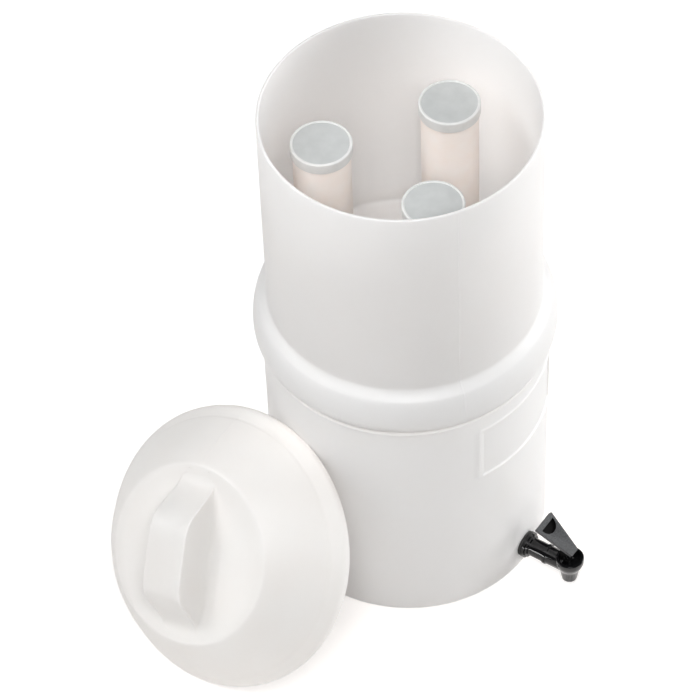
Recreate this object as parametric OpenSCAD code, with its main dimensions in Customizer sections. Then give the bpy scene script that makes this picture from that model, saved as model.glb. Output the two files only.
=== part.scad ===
// Gravity water filter with tap.
// The lower container carries the press tap, the upper container holds three ceramic
// candles and stacks on the lower one's neck, and the lid stands on the floor and
// leans on the lower container's side. The origin is the centre of the lower
// container's base, +Z is up and the tap points along -Y.

/* [Lower container] */
// Outer radius of the wall at the floor
base_r = 133.9; // [120:0.1:150]
// How much wider the wall is under the bead
wall_flare = 1.5; // [0.5:0.1:4]
// Height of the wall from the floor to the bead
lower_h = 268.6; // [240:0.1:320]
// Wall thickness of both containers and the lid
wall = 3; // [2:0.1:4]
// Radius of the rounded corner between wall and base
base_corner = 8; // [5:0.5:14]
// Thickness of the base
base_t = 3.5; // [2:0.1:6]
// Height of the bead that the upper container stands on
bead_h = 8.4; // [5:0.1:12]
// How far the bead bulges out of the wall
bead_out = 1.7; // [0.4:0.1:2.4]
// How far the neck steps in above the bead
neck_inset = 2.8; // [2:0.1:5]
// Height of the neck above the bead
neck_h = 34; // [20:0.5:38]

/* [Framed panel] */
// Width of the frame across the front
panel_w = 124; // [80:1:140]
// Height of the frame
panel_h = 71; // [40:1:76]
// Height of the frame's lower edge
panel_low = 181; // [130:1:190]
// Width of the frame's ridge
panel_rib = 4.5; // [2:0.5:6]
// How far the ridge stands out
panel_raise = 1.2; // [0.4:0.1:1.8]
// How deep the field inside the ridge is sunk
panel_sink = 0.5; // [0.2:0.1:1]
// Corner radius of the frame
panel_round = 4; // [1:0.5:15]

/* [Upper container] */
// Height from the skirt's lower edge to the rim
upper_h = 277.7; // [250:0.1:320]
// Height of the skirt from its lower edge to the crease in the wall
skirt_h = 45.4; // [41:0.1:60]
// How far the skirt bulges out over its lower edge
skirt_bulge = 7; // [3:0.1:10]
// Height of the skirt's widest ring over its lower edge
skirt_belly = 14; // [9:0.5:20]
// Clearance between neck, cup and skirt
stack_clear = 0.8; // [0.4:0.1:1.5]
// Height of the cup's underside over the skirt's lower edge
cup_rise = 25; // [18:0.5:30]
// Thickness of the upper container's floor
floor_t = 4; // [3:0.1:6]
// Corner radius of the cup
cup_corner = 7; // [5:0.5:12]
// How much wider the wall gets from the crease to the rim
rim_flare = 0.7; // [0.2:0.1:3]

/* [Candles] */
// Radius of the circle that the candles stand on
candle_pitch = 73; // [68:0.5:80]
// Direction of the first candle
candle_turn = -124; // [-180:1:180]
// Radius of the ceramic
ceramic_r = 26.7; // [22:0.1:30]
// Length of the ceramic
ceramic_l = 196; // [150:1:210]
// Wall of the ceramic
ceramic_wall = 9; // [6:0.5:12]
// Overlap of the end caps on the ceramic
cap_lap = 8.5; // [6:0.5:14]
// Wall of the end caps
cap_wall = 1.9; // [1.2:0.1:3]
// Thickness of the end caps' plates
cap_t = 3; // [2:0.1:5]
// Height of the raised lip round the top cap
cap_lip = 0.8; // [0.3:0.1:1.5]
// Radius of the candle's threaded stem
stem_r = 4.9; // [4:0.1:6]
// Bore of the candle's stem
stem_bore = 5; // [3:0.1:6]
// Length of the stem below the container's floor
stem_out = 18; // [14:0.5:22]
// Thickness of the candle's rubber washer
washer_t = 2; // [1.5:0.1:3]
// Radius of the wing nut's hub
wing_hub_r = 9; // [7:0.5:11]
// Span of the wing nut's wings
wing_span = 40; // [30:1:48]

/* [Tap] */
// Height of the tap's barrel over the floor
tap_z = 28; // [24:0.5:60]
// Reach from the wall to the spout's axis
tap_reach = 50.9; // [45:0.1:75]
// Radius of the tap's flange
flange_r = 13.5; // [12:0.1:18]
// Thickness of the flange
flange_t = 3.4; // [2.5:0.1:5]
// Radius of the barrel
barrel_r = 9.3; // [8:0.1:11]
// Radius of the threaded tail through the wall
tail_r = 7.8; // [6:0.1:8]
// Radius of the waterway along the barrel
waterway_r = 3.2; // [2:0.1:3.2]
// Radius of the cup on the tap's head
head_r = 13.8; // [13:0.1:16]
// Wall of the head's cup
head_wall = 2.4; // [1.8:0.1:2.5]
// Height of the head's rim over the barrel's axis
head_rise = 12.3; // [11.5:0.1:15]
// Radius of the outlet at its top
outlet_top_r = 10.2; // [9:0.1:11]
// Radius of the outlet at its mouth
outlet_r = 7.7; // [6:0.1:9]
// Drop from the barrel's axis to the outlet's mouth
outlet_drop = 17.5; // [16.5:0.5:22]
// Thickness of the rubber washers at the wall
tap_washer_t = 2.2; // [1.6:0.1:4]
// Width across the lock nut's flats
lock_nut_af = 25; // [21:0.5:32]
// Thickness of the lock nut
lock_nut_t = 7; // [5:0.5:10]

/* [Lever] */
// Length of the lever's plate
lever_l = 44; // [36:0.5:48]
// Width of the plate at the finger end
lever_wide = 27; // [20:0.5:32]
// Width of the plate at the spout end
lever_narrow = 11; // [9:0.5:14]
// Thickness of the plate
lever_t = 4; // [3:0.1:5]
// Slope of the plate at rest
lever_tilt = 35.6; // [30:0.5:40]
// Depth of the finger hollow
hollow_depth = 2.8; // [1:0.1:3.4]
// Radius of the finger hollow
hollow_r = 9.6; // [5:0.1:11]
// Radius of the lever's pin
pin_r = 1.5; // [1:0.1:1.8]
// Distance from the pin to the valve stem's axis
pin_arm = 5.2; // [5:0.1:6]
// Height of the pin over the barrel's axis
pin_rise = 9; // [8.8:0.1:9.5]

/* [Lid] */
// Clearance between the lid's skirt and the upper rim
lid_clear = 2; // [0.5:0.1:4]
// Height of the lid's straight rim
lid_edge_h = 6; // [3:0.5:12]
// Height of the crease where the dome starts
lid_crease_h = 20; // [14:0.5:30]
// How far the crease lies in from the rim
lid_crease_in = 9.5; // [4:0.5:14]
// Radius of the flat land round the grip
land_r = 85; // [84:0.5:100]
// Height of the land over the rim
land_h = 71; // [55:0.5:90]
// Bulge of the dome between crease and land
dome_bulge = 2.4; // [0.5:0.1:6]
// Height of the grip over the land
grip_h = 41; // [25:0.5:50]
// Width of the grip at its crest
grip_w = 42; // [30:0.5:50]
// Length of the grip at its crest
grip_crest = 70; // [50:1:90]
// Length of the grip at its foot
grip_foot = 156; // [140:1:158]
// Rounding of the grip's crest
grip_round = 5; // [4.5:0.5:10]
// Lean of the lid from the upright
lid_lean = 36.4; // [20:0.1:45]
// Direction in which the lid stands from the axis
lid_az = 161.8; // [140:0.1:200]
// Direction that the lid's top faces
lid_face = 172; // [150:0.1:210]
// Turn of the grip about the lid's own axis
lid_spin = 17.4; // [0:0.1:180]

/* [Hidden] */
$fn = 128;
seat_gap = 0.3;        // gap between pieces of different bodies at rest
fit_gap = 0.06;        // radial clearance of a pin or stem in its bore
over = 1;              // how far a cutting tool runs past the face it cuts

// Lower container
top_r = base_r + wall_flare;
bead_top = lower_h + bead_h;
neck_r = top_r - neck_inset;
neck_top = bead_top + neck_h;
inner_corner_z = base_t + base_corner - wall;
function wall_r(z) = base_r + wall_flare * min(z, lower_h) / lower_h;

// Upper container
skirt_z = bead_top + seat_gap;
cup_r = neck_r - wall - stack_clear;
crease_r = cup_r + 0.5;
rim_r = crease_r + rim_flare;
edge_r = neck_r + stack_clear;
belly_r = edge_r + wall + skirt_bulge;
cup_z = skirt_z + cup_rise;
floor_z = cup_z + floor_t;
crease_z = skirt_z + skirt_h;
rim_z = skirt_z + upper_h;

// Candles
candle_n = 3;
cap_r = ceramic_r + fit_gap + cap_wall;
base_z = floor_z + washer_t;
ceramic_z = base_z + cap_t;
ceramic_top = ceramic_z + ceramic_l;
wing_t = 3;
wing_tip_r = 5;
wing_nut_h = 9;

// Tap
spout_y = -(wall_r(tap_z) + tap_reach);
flange_y = -(wall_r(tap_z) + tap_washer_t);
inner_face_y = -sqrt(pow(wall_r(tap_z) - wall, 2) - pow(flange_r, 2)) + tap_washer_t;
cup_floor = tap_z + waterway_r + 0.4;
bonnet_t = 1.8;
head_bore_r = head_r - head_wall;
chamber_r = 5.6;
chamber_z = tap_z - 13.5;
outlet_z = tap_z - outlet_drop;
outlet_bore_r = 3.4;
pin_y = spout_y + pin_arm;
pin_z = tap_z + pin_rise;

// Valve
seal_r = 4.8;
seal_t = 3;
seal_z = chamber_z + seat_gap;
rod_r = 2;
collar_r = 4.2;
collar_t = 1.5;
collar_z = seal_z + seal_t;
stud_r = 1.5;
stem_head_z = pin_z + stud_r + seat_gap;
stem_head_t = 1.5;
lift = 2;
spring_z = collar_z + collar_t;
spring_h = cup_floor - spring_z - lift - seat_gap;
coil_turns = 5;
coil_steps = 16;
coil_sides = 6;
coil_wire = 0.45;
coil_r = rod_r + 0.35 + coil_wire;
coil_n = coil_turns * coil_steps;

// Lever
web_t = 2.4;
web_x = rod_r + 0.5 + web_t / 2;
hub_r = pin_r + 1.4;
nose = [spout_y - 6, pin_z + 14];

// Lid, in its own frame: rim plane at z = 0, dome along +z, grip along x
lid_r = rim_r + lid_clear + wall;
lid_crease_r = lid_r - lid_crease_in;
grip_top = land_h + grip_h;
foot_r = 15.5;
edge_round = 1.2;
rim_rings = [[lid_r, edge_round], [lid_r - edge_round, 0]];
lid_z = max([for (q = rim_rings) q[0] * cos(lid_lean) - q[1] * sin(lid_lean)]);
face_dir = [cos(lid_face), sin(lid_face)];
side_dir = [-sin(lid_face), cos(lid_face)];
stand_dir = [cos(lid_az), sin(lid_az)];

// Where the lid's centre stands so that its rim just clears the wall: for each point
// of the rim's two edges the distance at which it would touch, and the largest of them.
function rim_xy(t, q) = q[0] * (cos(t) * side_dir - sin(t) * sin(lid_lean) * face_dir)
  + q[1] * cos(lid_lean) * face_dir;
function rim_height(t, q) = lid_z + q[0] * sin(t) * cos(lid_lean) + q[1] * sin(lid_lean);
function touch(v, r) = -stand_dir * v + sqrt(max(0, pow(stand_dir * v, 2) - v * v + r * r));
lid_off = max([for (t = [0 : 1 : 180]) for (q = rim_rings)
  touch(rim_xy(t, q), wall_r(rim_height(t, q)) + seat_gap)]);

function arc(c, r, a, b, n = 8) =
  [for (i = [0 : n]) c + r * [cos(a + (b - a) * i / n), sin(a + (b - a) * i / n)]];
function oval(c, rx, ry, a, b, n = 12) =
  [for (i = [0 : n]) c + [rx * cos(a + (b - a) * i / n), ry * sin(a + (b - a) * i / n)]];
// Points of a shallow arc from p to q that bulges by s to the right of its chord
function bow(p, q, s, n = 10) =
  let (d = q - p, u = [d[1], -d[0]] / norm(d))
  [for (i = [0 : n]) p + d * i / n + u * 4 * s * (i / n) * (1 - i / n)];

module ring_of(points) { rotate_extrude() polygon(points); }
// Draws a profile given as [y, z] and gives it a width along x
module across(w) { rotate([90, 0, 90]) linear_extrude(w, center = true) children(); }
// Lays a shape that points along +z out along -y from the container's axis
module along_tap(y) { translate([0, y, tap_z]) rotate([90, 0, 0]) children(); }

// Solid cone of the lower container's outer wall, grown by d
module wall_cone(d = 0) {
  translate([0, 0, -over])
    cylinder(r1 = wall_r(-over) + d, r2 = wall_r(lower_h) + d, h = lower_h + over, $fn = 720);
}

module panel_outline(d = 0) {
  r = max(panel_round - d, 0.5);
  translate([0, panel_low + panel_h / 2])
    offset(r = r, $fn = 48)
      square([panel_w - 2 * (d + r), panel_h - 2 * (d + r)], center = true);
}

// Slab of the panel's outline that runs out along -y through the wall
module panel_slab(d = 0) {
  rotate([90, 0, 0]) linear_extrude(top_r + 10) panel_outline(d);
}

module lower_shell() {
  ring_of(concat(
    [[0, 0]],
    arc([wall_r(base_corner) - base_corner, base_corner], base_corner, -90, 0),
    [[top_r, lower_h]],
    oval([top_r, lower_h + bead_h / 2], bead_out, bead_h / 2 - 0.4, -90, 90, 8),
    [[top_r, bead_top], [neck_r, bead_top], [neck_r, neck_top - 1]],
    [[neck_r - 1, neck_top], [neck_r - wall + 1, neck_top]],
    [[neck_r - wall, neck_top - 1], [neck_r - wall, bead_top]],
    [[wall_r(lower_h - 4) - wall, lower_h - 4]],
    arc([wall_r(inner_corner_z) - base_corner, inner_corner_z], base_corner - wall, 0, -90),
    [[0, base_t]]));
}

module lower_container() {
  color([0.95, 0.95, 0.94]) difference() {
    union() {
      lower_shell();
      intersection() {
        difference() {
          wall_cone(panel_raise);
          wall_cone(-wall / 2);
        }
        panel_slab();
      }
    }
    intersection() {
      difference() {
        wall_cone(panel_raise + over);
        wall_cone(-panel_sink);
      }
      panel_slab(panel_rib);
    }
    along_tap(-base_r + 3 * wall) cylinder(r = tail_r + 0.2, h = 6 * wall);
  }
}

module upper_container() {
  inner = crease_r - wall;
  color([0.96, 0.96, 0.95]) difference() {
    ring_of(concat(
      [[0, cup_z]],
      arc([cup_r - cup_corner, cup_z + cup_corner], cup_corner, -90, 0),
      [[cup_r, crease_z - 7]],
      // inside of the skirt, down to its lower edge
      oval([cup_r + 2, skirt_z + skirt_belly],
           belly_r - wall - cup_r - 2, skirt_h - skirt_belly - 5, 90, 0),
      oval([belly_r - wall - 2, skirt_z + skirt_belly], 2, skirt_belly - 5, 0, -70, 6),
      [[edge_r, skirt_z + 2], [edge_r, skirt_z]],
      // outside of the skirt, back up to the crease
      [[edge_r + wall - 0.8, skirt_z]],
      oval([edge_r + wall, skirt_z + skirt_belly], skirt_bulge, skirt_belly - 0.6, -80, 0),
      oval([crease_r + 1, skirt_z + skirt_belly],
           belly_r - crease_r - 1, skirt_h - skirt_belly - 1, 0, 90, 16),
      [[crease_r, crease_z]],
      [[rim_r, rim_z - 1], [rim_r - 1, rim_z], [rim_r - wall + 1, rim_z]],
      [[rim_r - wall, rim_z - 1], [inner, crease_z]],
      arc([inner - cup_corner, floor_z + cup_corner - wall], cup_corner - wall + 0.6, 0, -90),
      [[0, floor_z]]));
    candle_places() translate([0, 0, cup_z - over])
      cylinder(r = stem_r + 0.1, h = floor_t + 2 * over);
  }
}

module candle_places() { for (i = [0 : candle_n - 1]) at_candle(i) children(); }
module at_candle(i) {
  rotate([0, 0, candle_turn + i * 360 / candle_n]) translate([candle_pitch, 0, 0]) children();
}

// Hollow ceramic cylinder, closed and rounded at its top
module ceramic(i) {
  color([0.98, 0.93, 0.88]) at_candle(i) translate([0, 0, ceramic_z])
    ring_of(concat(
      [[ceramic_r - ceramic_wall, 0], [ceramic_r, 0], [ceramic_r, ceramic_l - 1]],
      [[ceramic_r - 1, ceramic_l], [0, ceramic_l], [0, ceramic_l - ceramic_wall]],
      [[ceramic_r - ceramic_wall - 4, ceramic_l - ceramic_wall]],
      [[ceramic_r - ceramic_wall, ceramic_l - ceramic_wall - 4]]));
}

// Shallow moulded cap with a raised lip round its face
module top_cap(i) {
  color([0.85, 0.86, 0.87]) at_candle(i) translate([0, 0, ceramic_top - cap_lap])
    ring_of([
      [ceramic_r + fit_gap, 0], [cap_r - 0.4, 0], [cap_r, 0.4],
      [cap_r, cap_lap + cap_t - 0.8], [cap_r - 0.8, cap_lap + cap_t],
      [cap_r - 2.2, cap_lap + cap_t], [cap_r - 2.8, cap_lap + cap_t - cap_lip],
      [0, cap_lap + cap_t - cap_lip], [0, cap_lap], [ceramic_r + fit_gap, cap_lap]]);
}

// Base cap with the bored stem that goes through the container's floor
module candle_base(i) {
  low = base_z - cup_z + stem_out;
  color([0.88, 0.88, 0.87]) at_candle(i) translate([0, 0, base_z])
    ring_of([
      [stem_bore / 2, -low], [stem_r - 0.6, -low], [stem_r, -low + 0.6], [stem_r, 0],
      [cap_r - 1, 0], [cap_r, 1], [cap_r, cap_t + cap_lap],
      [ceramic_r + fit_gap, cap_t + cap_lap], [ceramic_r + fit_gap, cap_t],
      [stem_bore / 2, cap_t]]);
}

module candle_washer(i) {
  color([0.2, 0.2, 0.2]) at_candle(i) translate([0, 0, floor_z]) difference() {
    cylinder(r = stem_r + 7, h = washer_t);
    translate([0, 0, -over]) cylinder(r = stem_r + fit_gap, h = washer_t + 2 * over);
  }
}

// Wing nut under the floor: a round hub with two upswept wings
module wing_nut(i) {
  tip = wing_span / 2 - wing_tip_r;
  color([0.9, 0.9, 0.89]) at_candle(i) translate([0, 0, cup_z]) difference() {
    union() {
      mirror([0, 0, 1]) cylinder(r = wing_hub_r, h = wing_nut_h);
      rotate([90, 0, 0]) linear_extrude(wing_t, center = true) hull() {
        translate([0, -wing_nut_h / 2]) square([wing_hub_r, wing_nut_h - 3], center = true);
        for (s = [-1, 1]) translate([s * tip, -wing_nut_h + 1]) circle(r = wing_tip_r, $fn = 48);
      }
    }
    translate([0, 0, -2 * wing_nut_h])
      cylinder(r = stem_r + fit_gap, h = 2 * wing_nut_h + over);
  }
}

module tap_body() {
  barrel_l = flange_y - spout_y;
  color([0.12, 0.12, 0.13]) difference() {
    union() {
      // threaded tail, stepped flange, barrel and the ring halfway along it
      along_tap(inner_face_y + lock_nut_t + 3)
        cylinder(r = tail_r, h = lock_nut_t + 4 + inner_face_y - flange_y);
      along_tap(flange_y) cylinder(r = flange_r, h = flange_t);
      along_tap(flange_y) cylinder(r = flange_r - 2, h = flange_t + 2.4);
      along_tap(flange_y) cylinder(r = barrel_r, h = barrel_l);
      along_tap(flange_y - barrel_l * 0.46) cylinder(r = barrel_r + 1, h = 2.6);
      // head with its open cup, and the tapered outlet under it
      translate([0, spout_y, 0]) ring_of([
        [0, outlet_z], [outlet_r, outlet_z], [outlet_top_r, tap_z - 3],
        [head_r - 1.2, tap_z + 2], [head_r, tap_z + 6],
        [head_r, tap_z + head_rise - 0.6], [head_r - 0.6, tap_z + head_rise],
        [0, tap_z + head_rise]]);
    }
    along_tap(inner_face_y + lock_nut_t + 3 + over)
      cylinder(r = waterway_r, h = inner_face_y + lock_nut_t + 3 + over - spout_y);
    translate([0, spout_y, cup_floor]) cylinder(r = head_bore_r, h = head_rise + over);
    translate([0, spout_y, chamber_z]) cylinder(r = chamber_r, h = cup_floor - chamber_z + over);
    translate([0, spout_y, outlet_z - over])
      cylinder(r = outlet_bore_r, h = chamber_z - outlet_z + 2 * over);
    translate([0, spout_y, outlet_z - 0.1])
      cylinder(r1 = outlet_r - 1.5, r2 = outlet_bore_r, h = 3);
    translate([0, pin_y, pin_z]) rotate([0, 90, 0])
      cylinder(r = pin_r + 0.02, h = 2 * head_r + 2 * over, center = true);
    // slot in the rim through which the lever's webs swing
    translate([-web_x - web_t / 2 - 0.6, spout_y + head_bore_r - 3, pin_z + 0.6])
      cube([2 * web_x + web_t + 1.2, head_wall + 6, head_rise]);
  }
}

module tap_outer_washer() {
  color([0.1, 0.1, 0.1]) difference() {
    along_tap(flange_y + tap_washer_t + 1) cylinder(r = flange_r - 0.6, h = tap_washer_t + 1);
    wall_cone();
    along_tap(0) cylinder(r = tail_r + fit_gap, h = 2 * base_r);
  }
}

module tap_inner_washer() {
  color([0.1, 0.1, 0.1]) difference() {
    intersection() {
      along_tap(inner_face_y) cylinder(r = flange_r - 0.6, h = 2 * wall + tap_washer_t);
      wall_cone(-wall - 2 * fit_gap);
    }
    along_tap(0) cylinder(r = tail_r + fit_gap, h = 2 * base_r);
  }
}

module tap_lock_nut() {
  color([0.13, 0.13, 0.14]) difference() {
    along_tap(inner_face_y + lock_nut_t)
      cylinder(r = lock_nut_af / 2 / cos(30), h = lock_nut_t, $fn = 6);
    along_tap(inner_face_y + lock_nut_t + over)
      cylinder(r = tail_r + fit_gap, h = lock_nut_t + 2 * over);
  }
}

// Disc that closes the valve chamber and guides the stem
module tap_bonnet() {
  color([0.1, 0.1, 0.11]) translate([0, spout_y, cup_floor]) difference() {
    cylinder(r = head_bore_r - 0.05, h = bonnet_t);
    translate([0, 0, -over]) cylinder(r = rod_r + fit_gap, h = bonnet_t + 2 * over);
  }
}

module lever_plan() {
  offset(r = 1.2, $fn = 48) offset(delta = -1.2) polygon([
    [-lever_narrow / 2, 0], [lever_narrow / 2, 0],
    [lever_wide / 2, lever_l], [-lever_wide / 2, lever_l]]);
}

// Web from the plate down to the pin and on to the stud that lifts the stem
module lever_web() {
  up = [-sin(lever_tilt), cos(lever_tilt)];
  out = [cos(lever_tilt), sin(lever_tilt)];
  low = nose - (lever_t - 0.5) * up;
  difference() {
    union() {
      polygon([low + 1.5 * out, low + 15 * out, [pin_y + 2.2, pin_z + 1],
               [pin_y - 0.6, pin_z + 1], [pin_y - 0.6, pin_z + 6]]);
      translate([pin_y, pin_z]) circle(r = hub_r);
      translate([spout_y, pin_z]) circle(r = stud_r);
      translate([spout_y, pin_z - stud_r]) square([pin_arm, 2 * stud_r]);
    }
    translate([pin_y, pin_z]) circle(r = pin_r + fit_gap);
  }
}

module tap_lever() {
  color([0.3, 0.31, 0.32]) union() {
    translate([0, nose[0], nose[1]]) rotate([lever_tilt, 0, 0]) difference() {
      translate([0, 0, -lever_t]) linear_extrude(lever_t) lever_plan();
      // half-round finger hollow near the wide end
      translate([0, lever_l - 5, -hollow_depth]) intersection() {
        cylinder(r = hollow_r, h = lever_t);
        translate([-lever_wide, -2 * hollow_r, -over]) cube([2 * lever_wide, 2 * hollow_r, lever_t + 2]);
      }
    }
    for (s = [-1, 1]) translate([s * web_x, 0, 0]) across(web_t) lever_web();
  }
}

module tap_lever_pin() {
  color([0.75, 0.76, 0.78]) translate([0, pin_y, pin_z]) rotate([0, 90, 0])
    cylinder(r = pin_r, h = 2 * sqrt(pow(head_r, 2) - pow(pin_arm, 2)) - 0.6, center = true);
}

module tap_valve_stem() {
  color([0.15, 0.15, 0.16]) translate([0, spout_y, 0]) ring_of([
    [0, seal_z + 0.3], [1.4, seal_z + 0.3], [1.4, collar_z], [collar_r, collar_z],
    [collar_r, collar_z + collar_t], [rod_r, collar_z + collar_t],
    [rod_r, stem_head_z], [3.4, stem_head_z], [3.4, stem_head_z + stem_head_t - 0.4],
    [3, stem_head_z + stem_head_t], [0, stem_head_z + stem_head_t]]);
}

module tap_valve_seal() {
  color([0.08, 0.08, 0.08]) translate([0, spout_y, seal_z]) difference() {
    cylinder(r = seal_r, h = seal_t);
    translate([0, 0, -over]) cylinder(r = 1.45, h = seal_t + 2 * over);
  }
}

// Coil spring, one tube swept along a helix
function coil_point(i, k) =
  let (a = 360 * i / coil_steps, b = 360 * k / coil_sides, r = coil_r + coil_wire * cos(b))
  [r * cos(a), r * sin(a),
   coil_wire + (spring_h - 2 * coil_wire) * i / coil_n + coil_wire * sin(b)];

module tap_spring() {
  points = [for (i = [0 : coil_n]) for (k = [0 : coil_sides - 1]) coil_point(i, k)];
  sides = [for (i = [0 : coil_n - 1]) for (k = [0 : coil_sides - 1])
    let (a = i * coil_sides + k, b = i * coil_sides + (k + 1) % coil_sides)
    for (f = [[a, a + coil_sides, b], [b, a + coil_sides, b + coil_sides]]) f];
  start = [[for (k = [0 : coil_sides - 1]) k]];
  finish = [[for (k = [coil_sides - 1 : -1 : 0]) coil_n * coil_sides + k]];
  color([0.7, 0.7, 0.72]) translate([0, spout_y, spring_z])
    polyhedron(points, concat(sides, start, finish));
}

// Profile of the lid's outer surface from the rim to the land, moved in by d
function dome_line(d) = concat(
  [[lid_r - d, lid_edge_h]],
  bow([lid_r - d - 0.6, lid_edge_h + 3], [lid_crease_r - d, lid_crease_h - d * 0.3], 0.8, 6),
  bow([lid_crease_r - d, lid_crease_h + 0.8 - d * 0.3],
      [land_r + 2 - d * 0.8, land_h - 1 - d], dome_bulge),
  [[land_r - d * 0.8, land_h - d]]);

// The grip's outer form, moved in by d
module grip_form(d = 0) {
  x1 = grip_crest / 2;
  x2 = grip_foot / 2 - foot_r;
  y1 = grip_w / 2 - grip_round;
  hull() {
    for (x = [-1, 1]) for (y = [-1, 1])
      translate([x * x1, y * y1, grip_top - grip_round]) sphere(r = grip_round - d, $fn = 32);
    for (x = [-1, 1]) translate([x * x2, 0, land_h - 2 * wall])
      cylinder(r = foot_r - d, h = 1, $fn = 32);
    for (x = [-1, 1]) for (y = [-1, 1])
      translate([x * x1, y * (y1 + 1), land_h - 2 * wall])
        cylinder(r = grip_round - d, h = 1, $fn = 32);
  }
}

module lid_form() {
  difference() {
    union() {
      ring_of(concat(
        [[0, land_h - wall], [0, land_h]],
        [for (p = [len(dome_line(0)) - 1 : -1 : 0]) dome_line(0)[p]],
        [[lid_r, edge_round], [lid_r - edge_round, 0], [lid_r - wall + edge_round, 0]],
        [[lid_r - wall, edge_round]],
        dome_line(wall)));
      grip_form();
    }
    grip_form(wall);
  }
}

module lid() {
  color([0.95, 0.95, 0.95])
    translate([lid_off * stand_dir[0], lid_off * stand_dir[1], lid_z])
      rotate([0, 0, lid_face]) rotate([0, 90 - lid_lean, 0]) rotate([0, 0, lid_spin])
        lid_form();
}

lower_container();
upper_container();
lid();
ceramic(0);  // candle_1_ceramic
top_cap(0);  // candle_1_top_cap
candle_base(0);  // candle_1_base
candle_washer(0);  // candle_1_washer
wing_nut(0);  // candle_1_wing_nut
ceramic(1);  // candle_2_ceramic
top_cap(1);  // candle_2_top_cap
candle_base(1);  // candle_2_base
candle_washer(1);  // candle_2_washer
wing_nut(1);  // candle_2_wing_nut
ceramic(2);  // candle_3_ceramic
top_cap(2);  // candle_3_top_cap
candle_base(2);  // candle_3_base
candle_washer(2);  // candle_3_washer
wing_nut(2);  // candle_3_wing_nut
tap_body();
tap_outer_washer();
tap_inner_washer();
tap_lock_nut();
tap_bonnet();
tap_lever();
tap_lever_pin();
tap_valve_stem();
tap_valve_seal();
tap_spring();
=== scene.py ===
"""Gravity water filter with a press tap.

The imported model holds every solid.  This script gives them their finishes, puts
finer pieces of the same form in place of the containers, the lid, the candles' top
caps, the spring and the tap's body, bonnet, lock nut and lever, adds the ridges of
the stems' threads, and sets the studio and the camera.  Lengths are metres.
"""

import math

import bmesh
import bpy
from mathutils import Matrix, Vector

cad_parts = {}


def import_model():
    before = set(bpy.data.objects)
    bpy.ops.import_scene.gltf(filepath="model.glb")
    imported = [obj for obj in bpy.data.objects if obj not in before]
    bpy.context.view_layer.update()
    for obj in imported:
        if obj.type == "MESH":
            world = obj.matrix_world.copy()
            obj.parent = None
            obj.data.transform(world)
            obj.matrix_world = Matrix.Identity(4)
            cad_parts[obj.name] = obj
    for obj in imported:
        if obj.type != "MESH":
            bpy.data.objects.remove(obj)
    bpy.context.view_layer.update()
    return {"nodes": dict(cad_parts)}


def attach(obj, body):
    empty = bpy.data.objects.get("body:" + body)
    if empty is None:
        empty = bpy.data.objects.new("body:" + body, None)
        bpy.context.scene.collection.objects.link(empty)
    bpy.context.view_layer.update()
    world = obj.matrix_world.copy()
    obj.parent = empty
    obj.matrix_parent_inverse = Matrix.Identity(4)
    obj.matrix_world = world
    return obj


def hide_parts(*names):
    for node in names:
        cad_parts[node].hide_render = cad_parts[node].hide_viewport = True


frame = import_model()

MM = 0.001

# Camera, for a square picture 700 pixels wide
VIEW_YAW = math.radians(56.0) - 0.0204
VIEW_PITCH = 0.8575
VIEW_ROLL = -0.0404
VIEW_POINT = Vector((-2.17401, -1.46639, 3.26636))
SENSOR = 36.0
PICTURE_PIXELS = 700
FOCAL_PIXELS = 4216.96
LENS = FOCAL_PIXELS / PICTURE_PIXELS * SENSOR
CLIP_NEAR, CLIP_FAR = 0.1, 30.0

# Floor: its glow for the camera rises to 1 between the near and the far distance
STAGE_WHITE = (0.93, 0.905, 0.885)
STAGE_GLOW = 0.42
STAGE_NEAR = 0.8
STAGE_FAR = 2.2
STAGE_HALF = 6.0
STAGE_DROP = 0.2 * MM

# Light
ROOM_LIGHT = 0.03
SPOT_BLEND = 0.9
OBJECT_MIDDLE = Vector((0, 0, 0.3))
# Soft boxes: steps to the side, to the front and up from the object's middle, size, watts
BOXES = {
    "left_box": (-2.4, 0.2, 2.6, 1.8, 55.0),
    "front_box": (0.0, 1.9, 2.7, 1.6, 62.0),
    "right_box": (2.85, -1.1, 1.0, 2.0, 76.0),
}
# Spots: the same steps from what they light, degrees of the cone, radius, watts
SPOTS = {
    "candle_spot": (0.0, 1.7, 2.5, 6.2, 0.3, 175.0),
    "ceramic_spot": (0.0, 2.1, 2.1, 3.2, 0.12, 64.0),
    "tap_spot": (-2.3, 1.8, 0.4, 5.0, 0.14, 42.0),
}

# Fineness of the meshes, and how they are cut and smoothed
HOLE_SIDES = 48
CAP_SIDES = 96
UPPER_SIDES = 192
LID_SIDES = 288
WALL_TURN = math.radians(2.5)
FLOOR_RING = 20.0 * MM
BASE_RING = 25.0 * MM
LEAST_TURN = 1e-4
CUT_PAST = 5.0 * MM
SHARP_ANGLE = math.radians(40)
CAP_SHARP_ANGLE = math.radians(45)
PANEL_SHARP_ANGLE = math.radians(50)
FLAT_ANGLE = math.radians(0.4)
MERGE_REACH = 0.004 * MM
EDGE_STEPS = 3
COIL_STEPS = 28

# Lower container
WALL = 3.0 * MM
BASE_R = 133.9 * MM
WALL_FLARE = 1.5 * MM
LOWER_H = 268.6 * MM
BASE_CORNER = 8.0 * MM
BASE_T = 3.5 * MM
BEAD_H = 8.4 * MM
BEAD_OUT = 2.2 * MM
BEAD_ROLL = 2.1 * MM
NECK_INSET = 2.8 * MM
NECK_H = 34.0 * MM
TAP_Z = 28.0 * MM
TAP_HOLE_R = 8.0 * MM

# Framed panel on its front
PANEL_W = 124.0 * MM
PANEL_H = 71.0 * MM
PANEL_LOW = 181.0 * MM
PANEL_RIB = 4.5 * MM
PANEL_RAISE = 1.2 * MM
PANEL_SINK = 0.5 * MM
PANEL_ROUND = 4.0 * MM
PANEL_EDGE = 1.6 * MM
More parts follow.
